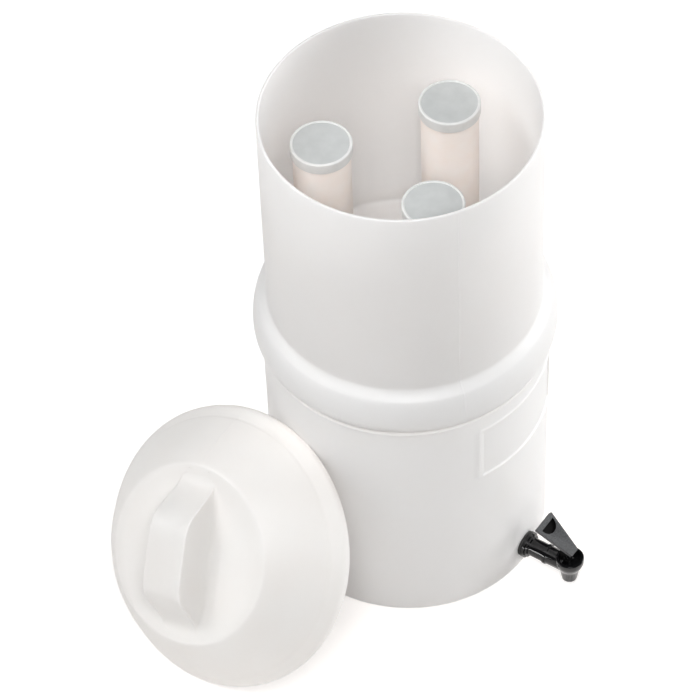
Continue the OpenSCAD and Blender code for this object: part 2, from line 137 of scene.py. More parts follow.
# Fine steps up the wall and round it near the frame's edges, and how far round past
# the frame the wall is raised by it
PANEL_STEP = 0.4 * MM
PANEL_REACH = 6.0 * MM
PANEL_TURN_STEP = 0.003
PANEL_TURN_REACH = 0.035
PANEL_PAST = 0.1

# Upper container
RIM_R = 130.0 * MM
RIM_Z = 555.0 * MM
RIM_ROUND = 1.5 * MM
CREASE_R = 129.3 * MM
CREASE_Z = 322.7 * MM
CREASE_SOFT = 5.0 * MM
FLOOR_Z = 306.3 * MM
CUP_R = 128.8 * MM
CUP_Z = 302.3 * MM
CUP_CORNER = 7.0 * MM
SKIRT_Z = 277.3 * MM
SKIRT_H = 45.4 * MM
SKIRT_BELLY = 14.0 * MM
BELLY_R = 143.4 * MM
EDGE_R = 133.4 * MM
STEM_HOLE_R = 5.0 * MM
CANDLE_PITCH = 73.0 * MM
CANDLE_TURN = math.radians(-124.0)
SEAM_TURNS = (math.radians(-124.0), math.radians(56.0))
SEAM_HEIGHT = 0.35 * MM
SEAM_WIDTH = 0.45 * MM
# Points near a seam, in mm from it
SEAM_STEPS = (-1.3, -0.8, -0.5, -0.25, 0.0, 0.25, 0.5, 0.8, 1.3)

# Candles
CERAMIC_R = 26.76 * MM
CANDLE_TOP = 507.3 * MM
CAP_R = 28.66 * MM
CAP_T = 3.0 * MM
CAP_LIP = 0.8 * MM
CAP_LAP = 8.5 * MM
CAP_FACE_R = CAP_R - 2.9 * MM
STEM_R = 4.9 * MM
STEM_LOW = CUP_Z - 18.0 * MM
THREAD_START = 1.2 * MM
THREAD_LENGTH = 6.75 * MM
THREAD_TURNS = 4.5
THREAD_RIDGE = 0.45 * MM
THREAD_SINK = 0.15 * MM
THREAD_SIDES = 6

# Tap
SPOUT_Y = -184.956 * MM
LEVER_NOSE = Vector((0, SPOUT_Y - 6 * MM, 51 * MM))
LEVER_TILT = math.radians(35.6)
LEVER_SKIN = 0.35 * MM
LEVER_T = 3.0 * MM
HOLLOW_Y = 39.0 * MM
HOLLOW_R = 9.6 * MM
HOLLOW_MARGIN = 0.2 * MM
SPRING_Z = 19.3 * MM
SPRING_H = 10.0 * MM
SPRING_R = 2.8 * MM
SPRING_WIRE = 0.45 * MM
SPRING_TURNS = 5.0
SPRING_SIDES = 10

# Lid, in its own frame: rim plane at z = 0, dome along +z, grip along x
LID_CENTRE = Vector((-0.2053518, 0.0675162, 0.1079486))
LID_FACE = math.radians(172.0)
LID_LEAN = math.radians(36.4)
LID_SPIN = math.radians(17.4)
LID_R = 135.0 * MM
LID_EDGE_H = 6.0 * MM
LID_EDGE_ROUND = 1.2 * MM
LID_CREASE_R = 125.5 * MM
LID_CREASE_H = 20.0 * MM
LAND_R = 85.0 * MM
LAND_H = 71.0 * MM
DOME_BULGE = 2.4 * MM
GRIP_TOP = 112.0 * MM
DOME_STEPS = 20
LID_SEAM_HEIGHT = 0.3 * MM
# Points near the lid's parting line, in radians from it
LID_SEAM_TURNS = (-0.009, -0.006, -0.0035, 0.0035, 0.006, 0.009)


# ---------------------------------------------------------------- meshes

def new_object(name, verts, faces, material):
    mesh = bpy.data.meshes.new(name)
    mesh.from_pydata([tuple(v) for v in verts], [], faces)
    mesh.validate()
    mesh.shade_smooth()
    if material is not None:
        mesh.materials.append(material)
    piece = bpy.data.objects.new(name, mesh)
    bpy.context.scene.collection.objects.link(piece)
    return piece


def loft(rings):
    """Vertices and faces of a closed skin through rings of points.

    A ring of one point is a pole."""
    verts = []
    starts = []
    for ring in rings:
        starts.append(len(verts))
        verts.extend(ring)
    faces = []
    for k in range(len(rings) - 1):
        a, b = starts[k], starts[k + 1]
        na, nb = len(rings[k]), len(rings[k + 1])
        count = max(na, nb)
        for i in range(count):
            j = (i + 1) % count
            if na == 1:
                faces.append((a, b + i, b + j))
            elif nb == 1:
                faces.append((a + j, a + i, b))
            else:
                faces.append((a + i, b + i, b + j, a + j))
    return verts, faces


def arc(centre, radii, start, stop, steps):
    """Profile points on an ellipse, by angle in degrees."""
    points = []
    for k in range(steps + 1):
        angle = math.radians(start + (stop - start) * k / steps)
        points.append((centre[0] + radii[0] * math.cos(angle),
                       centre[1] + radii[1] * math.sin(angle)))
    return points


def line(first, last, steps):
    """Profile points on a straight line."""
    points = []
    for k in range(steps + 1):
        points.append((first[0] + (last[0] - first[0]) * k / steps,
                       first[1] + (last[1] - first[1]) * k / steps))
    return points


def bend(first, corner, last, steps):
    """Profile points on a smooth bend from first to last that rounds off a corner."""
    points = []
    for k in range(steps + 1):
        t = k / steps
        points.append(tuple((1 - t) ** 2 * a + 2 * t * (1 - t) * b + t * t * c
                            for a, b, c in zip(first, corner, last)))
    return points


def even_turns(count):
    """Angles of a ring's points, evenly spaced."""
    return [2 * math.pi * k / count for k in range(count)]


def round_ring(radius, z, turns, x=0.0, y=0.0):
    """Ring of points round an axis along z at x, y."""
    return [Vector((x + radius * math.cos(turn), y + radius * math.sin(turn), z))
            for turn in turns]


def turned(profile, ring_at):
    """Rings of a profile turned round the z axis.

    A point on the axis is a pole, and ring_at(k, radius, z) makes the ring of any other."""
    rings = []
    for k, (radius, z) in enumerate(profile):
        rings.append(ring_at(k, radius, z) if radius else [Vector((0, 0, z))])
    return rings


def cylinder_cutter(name, x, y, low, high, radius):
    """Closed cylinder along z, to cut a round hole with."""
    turns = even_turns(HOLE_SIDES)
    rings = [[Vector((x, y, low))]]
    rings += [round_ring(radius, z, turns, x, y) for z in (low, high)]
    rings.append([Vector((x, y, high))])
    verts, faces = loft(rings[::-1])
    return new_object(name, verts, faces, None)


def made_solid(piece):
    """Turns a piece's modifiers into its mesh."""
    bpy.context.view_layer.update()
    graph = bpy.context.evaluated_depsgraph_get()
    mesh = bpy.data.meshes.new_from_object(piece.evaluated_get(graph), depsgraph=graph)
    piece.modifiers.clear()
    piece.data = mesh
    return piece


def drilled(piece, cutters):
    """Cuts the cutters out of a piece and clears them away."""
    for cutter in cutters:
        cut = piece.modifiers.new("hole", "BOOLEAN")
        cut.operation = "DIFFERENCE"
        cut.solver = "EXACT"
        cut.object = cutter
    made_solid(piece)
    for cutter in cutters:
        bpy.data.objects.remove(cutter)


def softened(node, material, width):
    """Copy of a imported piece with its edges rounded."""
    source = frame["nodes"][node]
    mesh = source.data.copy()
    mesh.transform(source.matrix_world)
    work = bmesh.new()
    work.from_mesh(mesh)
    bmesh.ops.remove_doubles(work, verts=work.verts, dist=MERGE_REACH)
    bmesh.ops.dissolve_limit(work, angle_limit=FLAT_ANGLE, verts=work.verts, edges=work.edges)
    work.to_mesh(mesh)
    work.free()
    mesh.shade_smooth()
    mesh.set_sharp_from_angle(angle=SHARP_ANGLE)
    mesh.materials.clear()
    mesh.materials.append(material)
    piece = bpy.data.objects.new(f"{node}_soft", mesh)
    bpy.context.scene.collection.objects.link(piece)
    edge = piece.modifiers.new("edge", "BEVEL")
    edge.width = width
    edge.segments = EDGE_STEPS
    edge.limit_method = "ANGLE"
    edge.angle_limit = SHARP_ANGLE
    edge.harden_normals = True
    return made_solid(piece)


def paint_hollow_shade(lever, material):
    """Paints shade on the finger hollow and the lever's underside: their faces get the darker
    black.
    """
    lever.data.materials.append(material)
    flat = Matrix.Rotation(-LEVER_TILT, 4, "X") @ Matrix.Translation(-LEVER_NOSE)
    for face in lever.data.polygons:
        place = flat @ face.center
        away = math.hypot(place.x, place.y - HOLLOW_Y)
        in_hollow = away < HOLLOW_R + HOLLOW_MARGIN and place.y < HOLLOW_Y + HOLLOW_MARGIN
        # painted shade: faces in the hollow and under the lever take the darker black
        if place.z < -LEVER_SKIN and (in_hollow or place.z < -LEVER_T):
            face.material_index = 1


def coil_tree():
    """Geometry nodes: a wire or a thread's ridge wound round the z axis."""
    tree = bpy.data.node_groups.new("wound_coil", "GeometryNodeTree")
    inputs = {"Turns": "Float", "Radius": "Float", "Height": "Float", "Wire": "Float",
              "Sides": "Int", "Material": "Material"}
    for name, kind in inputs.items():
        tree.interface.new_socket(name, in_out="INPUT", socket_type=f"NodeSocket{kind}")
    tree.interface.new_socket("Geometry", in_out="OUTPUT", socket_type="NodeSocketGeometry")
    nodes, links = tree.nodes, tree.links
    given = nodes.new("NodeGroupInput")
    spiral = nodes.new("GeometryNodeCurveSpiral")
    spiral.inputs["Resolution"].default_value = COIL_STEPS
    links.new(given.outputs["Turns"], spiral.inputs["Rotations"])
    links.new(given.outputs["Radius"], spiral.inputs["Start Radius"])
    links.new(given.outputs["Radius"], spiral.inputs["End Radius"])
    links.new(given.outputs["Height"], spiral.inputs["Height"])
    wire = nodes.new("GeometryNodeCurvePrimitiveCircle")
    links.new(given.outputs["Sides"], wire.inputs["Resolution"])
    links.new(given.outputs["Wire"], wire.inputs["Radius"])
    sweep = nodes.new("GeometryNodeCurveToMesh")
    sweep.inputs["Fill Caps"].default_value = True
    links.new(spiral.outputs["Curve"], sweep.inputs["Curve"])
    links.new(wire.outputs["Curve"], sweep.inputs["Profile Curve"])
    real = nodes.new("GeometryNodeRealizeInstances")
    links.new(sweep.outputs["Mesh"], real.inputs["Geometry"])
    paint = nodes.new("GeometryNodeSetMaterial")
    links.new(real.outputs["Geometry"], paint.inputs["Geometry"])
    links.new(given.outputs["Material"], paint.inputs["Material"])
    links.new(paint.outputs["Geometry"], nodes.new("NodeGroupOutput").inputs["Geometry"])
    return tree


def coil(name, tree, place, material, turns, radius, height, wire, sides):
    """A wound piece from the coil tree, moved to its place."""
    piece = new_object(name, [], [], None)
    wound = piece.modifiers.new("coil", "NODES")
    wound.node_group = tree
    values = {"Turns": turns, "Radius": radius, "Height": height, "Wire": wire,
              "Sides": sides, "Material": material}
    for socket in tree.interface.items_tree:
        if socket.name in values:
            wound[socket.identifier] = values[socket.name]
    made_solid(piece)
    piece.data.shade_smooth()
    piece.data.transform(place)
    return piece


# ---------------------------------------------------------------- finishes

NOISE_LOW, NOISE_HIGH = 0.3, 0.7


class Finish:
    """A node material on Object coordinates."""

    def __init__(self, name, roughness, metallic=0.0):
        self.material = bpy.data.materials.new(name)
        self.material.use_nodes = True
        self.nodes = self.material.node_tree.nodes
        self.links = self.material.node_tree.links
        self.shader = self.nodes["Principled BSDF"]
        self.shader.inputs["Roughness"].default_value = roughness
        self.shader.inputs["Metallic"].default_value = metallic
        self.place = self.nodes.new("ShaderNodeTexCoord").outputs["Object"]

    def link(self, source, node, socket):
        self.links.new(source, node.inputs[socket])

    def set(self, socket, value):
        self.shader.inputs[socket].default_value = value

    def translucent(self, weight, radii):
        """Lets light into the material, as far as radii metres of red, green and blue."""
        self.set("Subsurface Weight", weight)
        self.set("Subsurface Radius", radii)
        self.set("Subsurface Scale", 1.0)

    def noise(self, size, detail, place=None):
        """Noise whose features are about size metres across."""
        node = self.nodes.new("ShaderNodeTexNoise")
        node.inputs["Scale"].default_value = 1.0 / size
        node.inputs["Detail"].default_value = detail
        self.link(place or self.place, node, "Vector")
        return node.outputs["Fac"]

    def stretched(self, scale):
        """Place with its axes scaled, for lines and streaks."""
        node = self.nodes.new("ShaderNodeMapping")
        node.inputs["Scale"].default_value = scale
        self.link(self.place, node, "Vector")
        return node.outputs["Vector"]

    def spread(self, value, low, high):
        """A noise value brought to the range from low to high."""
        node = self.nodes.new("ShaderNodeMapRange")
        node.inputs["From Min"].default_value = NOISE_LOW
        node.inputs["From Max"].default_value = NOISE_HIGH
        node.inputs["To Min"].default_value = low
        node.inputs["To Max"].default_value = high
        self.link(value, node, "Value")
        return node.outputs["Result"]

    def toned(self, value, first, second):
        """Colour that a noise value takes from the first to the second."""
        factor = self.spread(value, 0.0, 1.0)
        node = self.nodes.new("ShaderNodeMix")
        node.data_type = "RGBA"
        self.link(factor, node, "Factor")
        for socket, colour in (("A_Color", first), ("B_Color", second)):
            target = next(s for s in node.inputs if s.identifier == socket)
            target.default_value = (*colour, 1.0)
        return next(s for s in node.outputs if s.identifier == "Result_Color")

    def bump(self, height, depth, under=None):
        """Relief depth metres deep, over another relief where one is given."""
        node = self.nodes.new("ShaderNodeBump")
        node.inputs["Strength"].default_value = 1.0
        node.inputs["Distance"].default_value = depth
        self.link(height, node, "Height")
        if under is not None:
            self.link(under, node, "Normal")
        return node.outputs["Normal"]

    def wear(self, colour, roughness, normal):
        self.link(colour, self.shader, "Base Color")
        self.link(roughness, self.shader, "Roughness")
        self.link(normal, self.shader, "Normal")
        return self.material


def polyethylene(name, depth, low=(0.990, 0.940, 0.908), high=(0.996, 0.959, 0.934)):
    """Translucent white moulded wall: cloudy, slightly rippled, matt.

    Light goes about depth metres into it, and its colour lies between low and high."""
    finish = Finish(name, 0.45)
    finish.translucent(1.0, (depth, depth, depth))
    cloud = finish.noise(60 * MM, 3.0)
    colour = finish.toned(cloud, low, high)
    grain = finish.noise(0.9 * MM, 2.0)
    ripple = finish.noise(28 * MM, 2.0)
    normal = finish.bump(grain, 0.02 * MM, finish.bump(ripple, 0.25 * MM))
    roughness = finish.spread(finish.noise(9 * MM, 3.0), 0.4, 0.52)
    return finish.wear(colour, roughness, normal)


def fired_ceramic():
    """Porous cream ceramic with a faint pink tone and fine pits."""
    finish = Finish("fired_ceramic", 0.85)
    finish.translucent(0.1, (0.004, 0.003, 0.0025))
    tone = finish.noise(18 * MM, 4.0)
    colour = finish.toned(tone, (0.99, 0.91, 0.86), (0.998, 0.945, 0.91))
    pits = finish.noise(0.5 * MM, 3.0)
    normal = finish.bump(pits, 0.08 * MM)
    roughness = finish.spread(tone, 0.8, 0.92)
    return finish.wear(colour, roughness, normal)


def satin_cap():
    """Light grey injection-moulded cap."""
    finish = Finish("satin_grey_plastic", 0.42)
    tone = finish.noise(12 * MM, 2.0)
    colour = finish.toned(tone, (0.53, 0.55, 0.55), (0.58, 0.60, 0.60))
    grain = finish.noise(0.35 * MM, 2.0)
    roughness = finish.spread(finish.noise(4 * MM, 3.0), 0.36, 0.5)
    return finish.wear(colour, roughness, finish.bump(grain, 0.015 * MM))


def milky_cap_with_painted_highlight():
    """Milky rim of the candle's top cap, lighter than its face: partly the rim's own translucent
    milky colour, partly a painted highlight on the lip.
    """
    finish = Finish("milky_white_painted_highlight", 0.35)
    finish.translucent(0.7, (0.003, 0.003, 0.003))
    tone = finish.noise(8 * MM, 2.0)
    # partly painted highlight: the lighter milky colour also stands in for the light caught by
    # the lip
    colour = finish.toned(tone, (0.72, 0.735, 0.73), (0.78, 0.79, 0.785))
    normal = finish.bump(finish.noise(0.5 * MM, 2.0), 0.012 * MM)
    return finish.wear(colour, finish.spread(finish.noise(3 * MM, 3.0), 0.3, 0.42), normal)


def black_tap_plastic():
    """Glossy black plastic with handling marks."""
    finish = Finish("gloss_black_plastic", 0.1)
    finish.set("Specular IOR Level", 0.42)
    tone = finish.noise(10 * MM, 3.0)
    colour = finish.toned(tone, (0.004, 0.004, 0.0045), (0.009, 0.009, 0.01))
    marks = finish.noise(1.0, 4.0, finish.stretched((300.0, 1500.0, 1500.0)))
    roughness = finish.spread(marks, 0.06, 0.16)
    normal = finish.bump(finish.noise(3 * MM, 2.0), 0.02 * MM)
    return finish.wear(colour, roughness, normal)


def painted_shade_black_plastic():
    """Painted shade: a darker black with little reflection for the lever's hollow and underside,
    which are of the lever's own plastic.
    """
    finish = Finish("black_plastic_painted_shade", 0.6)
    finish.set("Specular IOR Level", 0.06)
    tone = finish.noise(4 * MM, 3.0)
    # painted shade: this near-black stands in for the shade in the hollow and under the lever
    colour = finish.toned(tone, (0.003, 0.003, 0.003), (0.006, 0.006, 0.006))
    normal = finish.bump(finish.noise(0.5 * MM, 2.0), 0.02 * MM)
    return finish.wear(colour, finish.spread(tone, 0.5, 0.7), normal)


def lever_plastic_painted_sheen():
    """Black plastic with an even fine grain; its grey is painted sheen, standing in for the
    lamps' reflection on the lever's plate.
    """
    finish = Finish("grained_lever_painted_sheen", 0.5)
    grain = finish.noise(1.1 * MM, 3.0)
    # painted sheen: the grey colour stands in for the reflection on the plate; the grain's spread
    # is random tone
    colour = finish.toned(grain, (0.025, 0.027, 0.03), (0.085, 0.088, 0.093))
    roughness = finish.spread(grain, 0.42, 0.58)
    return finish.wear(colour, roughness, finish.bump(grain, 0.02 * MM))


def soft_rubber():
    """Matt black washer rubber, slightly dusty."""
    finish = Finish("black_rubber", 0.8)
    tone = finish.noise(5 * MM, 3.0)
    colour = finish.toned(tone, (0.02, 0.02, 0.02), (0.05, 0.05, 0.05))
    normal = finish.bump(finish.noise(0.6 * MM, 2.0), 0.05 * MM)
    return finish.wear(colour, finish.spread(tone, 0.7, 0.88), normal)


def bright_steel():
    """Drawn stainless steel with fine lines across its length."""
    finish = Finish("bright_steel", 0.28, 1.0)
    lines = finish.noise(1.0, 3.0, finish.stretched((4000.0, 300.0, 300.0)))
    colour = finish.toned(lines, (0.52, 0.52, 0.54), (0.68, 0.68, 0.69))
    normal = finish.bump(lines, 0.01 * MM)
    return finish.wear(colour, finish.spread(lines, 0.2, 0.36), normal)


# ---------------------------------------------------------------- upper container

def candle_place(n):
    """x and y of candle n's axis."""
    turn = CANDLE_TURN + (n - 1) * math.radians(120)
    return CANDLE_PITCH * math.cos(turn), CANDLE_PITCH * math.sin(turn)


def seam_angles():
    """Angles of a ring's points, closer together at the two mould seams."""
    angles = even_turns(UPPER_SIDES)
    for seam in SEAM_TURNS:
        for step in SEAM_STEPS:
            angles.append((seam + step * MM / RIM_R) % (2 * math.pi))
    angles = sorted(angles)
    return [a for k, a in enumerate(angles) if a - angles[k - 1] > LEAST_TURN or k == 0]


def seam_lift(angle):
    """Height of the mould seam's ridge at an angle."""
    lift = 0.0
    for seam in SEAM_TURNS:
        away = (angle - seam + math.pi) % (2 * math.pi) - math.pi
        lift += SEAM_HEIGHT * math.exp(-(away * RIM_R / SEAM_WIDTH) ** 2)
    return lift


def rim_arc(start, stop):
    return arc((RIM_R - WALL / 2, RIM_Z - RIM_ROUND), (WALL / 2, RIM_ROUND), start, stop, 5)


def upper_inside():
    """Floor, its rounded corner, the wall and the rim's inner half."""
    inner = CREASE_R - WALL
    corner = CUP_CORNER - WALL
    points = [(0, FLOOR_Z)]
    points += line((FLOOR_RING, FLOOR_Z), (inner - FLOOR_RING, FLOOR_Z), 5)
    points += arc((inner - CUP_CORNER, FLOOR_Z + corner), (corner + WALL, corner), -90, 0, 8)
    points += line((inner, CREASE_Z), (RIM_R - WALL, RIM_Z - RIM_ROUND), 12)
    return points + rim_arc(165, 90)


def upper_outside():
    """The rim's outer half, the wall, the crease and the skirt."""
    belly_z = SKIRT_Z + SKIRT_BELLY
    points = rim_arc(75, 0)
    points += line((RIM_R, RIM_Z - 8 * MM), (CREASE_R, CREASE_Z + CREASE_SOFT + 2 * MM), 12)
    shoulder = arc((CREASE_R + 1 * MM, belly_z),
                   (BELLY_R - CREASE_R - 1 * MM, SKIRT_H - SKIRT_BELLY - 1 * MM), 60, 0, 18)
    points += bend((CREASE_R, CREASE_Z + CREASE_SOFT), (CREASE_R + 0.1 * MM, CREASE_Z),
                   shoulder[0], 8)
    points += shoulder[1:]
    points += arc((EDGE_R + WALL, belly_z), (BELLY_R - EDGE_R - WALL, SKIRT_BELLY - 0.6 * MM),
                  -8, -80, 9)
    return points


def upper_underside():
    """The skirt's lower edge and inner face, and the cup from outside."""
    belly_z = SKIRT_Z + SKIRT_BELLY
    points = [
        (EDGE_R + WALL - 0.8 * MM, SKIRT_Z),
        (EDGE_R + 0.3 * MM, SKIRT_Z),
        (EDGE_R, SKIRT_Z + 0.3 * MM),
        (EDGE_R, SKIRT_Z + 2 * MM),
    ]
    points += arc((BELLY_R - WALL - 2 * MM, belly_z), (2 * MM, SKIRT_BELLY - 5 * MM), -70, 0, 6)
    points += arc((CUP_R + 2 * MM, belly_z),
                  (BELLY_R - WALL - CUP_R - 2 * MM, SKIRT_H - SKIRT_BELLY - 5 * MM), 8, 90, 11)
    points.append((CUP_R, CREASE_Z - 7 * MM))
    points += arc((CUP_R - CUP_CORNER, CUP_Z + CUP_CORNER), (CUP_CORNER, CUP_CORNER), 0, -90, 8)
    points += line((CUP_R - FLOOR_RING, CUP_Z), (FLOOR_RING, CUP_Z), 5)
    points.append((0, CUP_Z))
    return points


def upper_moulding(thin, dense):
    """The upper container, thin above the crease and dense below it."""
    inside, outside = upper_inside(), upper_outside()
    angles = seam_angles()
    lifts = [seam_lift(angle) for angle in angles]

    def ring_at(k, radius, z):
        seamed = len(inside) <= k < len(inside) + len(outside)
        ring = []
        for angle, lift in zip(angles, lifts):
            out = radius + lift if seamed else radius
            ring.append(Vector((out * math.cos(angle), out * math.sin(angle), z)))
        return ring

    verts, faces = loft(turned(inside + outside + upper_underside(), ring_at))
    piece = new_object("upper_moulding", verts, faces, thin)
    piece.data.materials.append(dense)
    for face in piece.data.polygons:
        face.material_index = 1 if face.center.z < CREASE_Z + CREASE_SOFT else 0
    holes = []
    for n in (1, 2, 3):
        x, y = candle_place(n)
        holes.append(cylinder_cutter(f"hole_{n}", x, y, CUP_Z - CUT_PAST, FLOOR_Z + CUT_PAST,
                                     STEM_HOLE_R))
    drilled(piece, holes)
    piece.data.set_sharp_from_angle(angle=SHARP_ANGLE)
    return piece


def cap_profile():
    """Top face, lip, side and underside of a candle's top cap."""
    top = CANDLE_TOP + CAP_T
    face_z = top - CAP_LIP
    low = CANDLE_TOP - CAP_LAP
    points = [(0, face_z)]
    points += line((6 * MM, face_z), (CAP_R - 3 * MM, face_z), 4)
    points += bend((CAP_R - 2.8 * MM, face_z), (CAP_R - 2.4 * MM, face_z),
                   (CAP_R - 2.2 * MM, top - 0.3 * MM), 3)
    points += bend((CAP_R - 2.1 * MM, top), (CAP_R - 0.1 * MM, top), (CAP_R, top - 1.3 * MM), 7)
    points += line((CAP_R, top - 2 * MM), (CAP_R, low + 0.6 * MM), 3)
    points += bend((CAP_R, low + 0.4 * MM), (CAP_R, low), (CAP_R - 0.4 * MM, low), 3)
    points += [(CERAMIC_R, low), (CERAMIC_R, CANDLE_TOP), (0, CANDLE_TOP)]
    return points


def top_cap(n, rim, face):
    """Candle n's top cap: a milky ring with a raised lip round a grey face; the ring's lighter
    colour is partly a painted highlight.
    """
    turns = even_turns(CAP_SIDES)
    rings = turned(cap_profile(), lambda k, radius, z: round_ring(radius, z, turns))
    verts, faces = loft(rings)
    piece = new_object(f"top_cap_{n}", verts, faces, rim)
    piece.data.materials.append(face)
    # the grey face takes slot 1; the rest takes the milky colour, which is partly painted
    # highlight
    for polygon in piece.data.polygons:
        inside = math.hypot(polygon.center.x, polygon.center.y) < CAP_FACE_R
        upward = polygon.center.z > CANDLE_TOP + 0.5 * MM
        polygon.material_index = 1 if inside and upward else 0
    piece.data.set_sharp_from_angle(angle=CAP_SHARP_ANGLE)
    piece.data.transform(Matrix.Translation((*candle_place(n), 0)))
    return piece


# ---------------------------------------------------------------- lower container

def wall_radius(height):
    """Outer radius of the wall, which flares a little upwards."""
    return BASE_R + WALL_FLARE * min(height, LOWER_H) / LOWER_H


def panel_lift(x, z):
    """How far the framed panel stands out of the wall at a point of the front."""
    across = abs(x) - (PANEL_W / 2 - PANEL_ROUND)
    along = abs(z - PANEL_LOW - PANEL_H / 2) - (PANEL_H / 2 - PANEL_ROUND)
    outside = math.hypot(max(across, 0), max(along, 0)) + min(max(across, along), 0) - PANEL_ROUND
    rise = smooth_step(-outside / PANEL_EDGE)
    fall = smooth_step((-outside - PANEL_RIB) / PANEL_EDGE)
    return PANEL_RAISE * rise - (PANEL_RAISE + PANEL_SINK) * fall


def smooth_step(t):
    t = min(max(t + 0.5, 0), 1)
    return t * t * (3 - 2 * t)


def fine_steps(start, stop, coarse, marks, reach, fine):
    """Values from start to stop, closer together near the marks."""
    values = [start]
    while values[-1] < stop:
        near = min(abs(values[-1] - m) for m in marks)
        values.append(values[-1] + (fine if near < reach else coarse))
    values[-1] = stop
    return values


def lower_outside():
    """Underside, rounded foot, wall and bead."""
    top_r = BASE_R + WALL_FLARE
    points = [(0, 0)] + line((BASE_RING, 0), (BASE_R - 20 * MM, 0), 4)
    points += arc((wall_radius(BASE_CORNER) - BASE_CORNER, BASE_CORNER),
                  (BASE_CORNER, BASE_CORNER), -90, -9, 9)
    panel_top = PANEL_LOW + PANEL_H
    marks = (PANEL_LOW, PANEL_LOW + PANEL_RIB, panel_top - PANEL_RIB, panel_top)
    heights = fine_steps(BASE_CORNER, LOWER_H - 1.5 * MM, 6 * MM, marks, PANEL_REACH, PANEL_STEP)
    points += [(wall_radius(z), z) for z in heights]
    points += arc((top_r, LOWER_H + BEAD_ROLL), (BEAD_OUT, BEAD_ROLL), -85, 80, 14)
    points += line((top_r, LOWER_H + 2 * BEAD_ROLL + 0.3 * MM),
                   (top_r, LOWER_H + BEAD_H - 0.4 * MM), 2)
    return points


def neck():
    """Step over the bead, the neck and its rim."""
    top_r = BASE_R + WALL_FLARE
    neck_r = top_r - NECK_INSET
    inner_r = neck_r - WALL
    step_z = LOWER_H + BEAD_H
    top_z = step_z + NECK_H
    points = [
        (top_r - 0.5 * MM, step_z),
        (neck_r + 0.3 * MM, step_z),
        (neck_r, step_z + 0.4 * MM),
    ]
    points += line((neck_r, step_z + 2 * MM), (neck_r, top_z - 1 * MM), 4)
    points += [
        (neck_r - 0.4 * MM, top_z - 0.3 * MM),
        (neck_r - 1 * MM, top_z),
        (inner_r + 1 * MM, top_z),
        (inner_r + 0.3 * MM, top_z - 0.4 * MM),
        (inner_r, top_z - 1 * MM),
        (inner_r, step_z),
    ]
    return points


def lower_inside():
    """Inner wall, its rounded corner and the floor."""
    corner = BASE_CORNER - WALL
    corner_z = BASE_T + corner
    points = line((wall_radius(LOWER_H) - WALL, LOWER_H - 4 * MM),
                  (wall_radius(corner_z) - WALL, corner_z), 12)
    points += arc((wall_radius(corner_z) - BASE_CORNER, corner_z), (corner, corner), -8, -90, 8)
    points += line((BASE_R - 30 * MM, BASE_T), (BASE_RING, BASE_T), 4)
    points.append((0, BASE_T))
    return points


def lower_moulding(material):
    """The lower container, with the framed panel raised on its front."""
    outside = lower_outside()
    top_r = BASE_R + WALL_FLARE
    edge = math.asin(PANEL_W / 2 / top_r)
    ridge = edge - PANEL_RIB / top_r
    turns = fine_steps(-math.pi, math.pi, WALL_TURN, (-edge, -ridge, ridge, edge),
                       PANEL_TURN_REACH, PANEL_TURN_STEP)[:-1]

    def ring_at(k, radius, z):
        ring = []
        for turn in turns:
            out = radius
            if k < len(outside) and abs(turn) < edge + PANEL_PAST:
                out += panel_lift(radius * math.sin(turn), z)
            ring.append(Vector((out * math.sin(turn), -out * math.cos(turn), z)))
        return ring

    rings = turned(outside + neck() + lower_inside(), ring_at)
    verts, faces = loft(rings[::-1])
    piece = new_object("lower_moulding", verts, faces, material)
    hole = cylinder_cutter("tap_hole", 0, 0, BASE_R - 15 * MM, BASE_R + 8 * MM, TAP_HOLE_R)
    forwards = Matrix.Rotation(math.pi / 2, 4, "X")
    hole.data.transform(Matrix.Translation((0, 0, TAP_Z)) @ forwards)
    drilled(piece, [hole])
    piece.data.set_sharp_from_angle(angle=PANEL_SHARP_ANGLE)
    return piece


# ---------------------------------------------------------------- lid

# The grip: a band that rises from the land, runs level and comes down again, with
# steep side walls.  Its profile is two arcs and the straight slope that joins them.
GRIP_HALF_L = 78.5 * MM
GRIP_HALF_W = 21.0 * MM
GRIP_SQUARE = 6.0
GRIP_LEVEL = 21.6 * MM
GRIP_KNEE_R = 30.0 * MM
GRIP_FOOT_X = 76.1 * MM
GRIP_FOOT_R = 16.0 * MM
GRIP_SLOPE = math.radians(52.0)
GRIP_EDGE_R = 1.4 * MM
GRIP_LEAST_EDGE = 0.4 * MM
GRIP_EDGE_SHARE = 0.3
GRIP_CROWN = 0.5 * MM
GRIP_PINCH = 0.7 * MM
GRIP_PINCH_RISE = 20.0 * MM
GRIP_END_STEEP = 0.45
# The band from its middle to its edge, and the angles that round the edge
GRIP_BAND = (0.12, 0.25, 0.4, 0.55, 0.7, 0.82, 0.91)
GRIP_EDGE = (0, 22, 45, 68, 90)
# The land from the grip's foot to the dome
LAND_PARTS = (0.2, 0.4, 0.6, 0.8, 1.0)
# The side wall from the band's edge to the land: part of the height left, distance
# outside the band's edge in mm and share of the pinch
GRIP_WALL = (
    (0.93, 0.02, 0.4), (0.86, 0.06, 0.9), (0.76, 0.12, 1.0), (0.64, 0.2, 0.9), (0.5, 0.3, 0.7),
    (0.37, 0.45, 0.4), (0.26, 0.65, 0.1), (0.17, 1.0, 0.0), (0.11, 1.6, 0.0), (0.06, 2.6, 0.0),
    (0.02, 4.0, 0.0), (0.0, 5.6, 0.0),
)


def lid_turns():
    """Turns of a ring's points, closer together where the parting line runs."""
    turns = even_turns(LID_SIDES)
    for middle in (0.0, math.pi):
        for step in LID_SEAM_TURNS:
            turns.append((middle + step) % (2 * math.pi))
    return sorted(turns)


LID_TURNS = lid_turns()


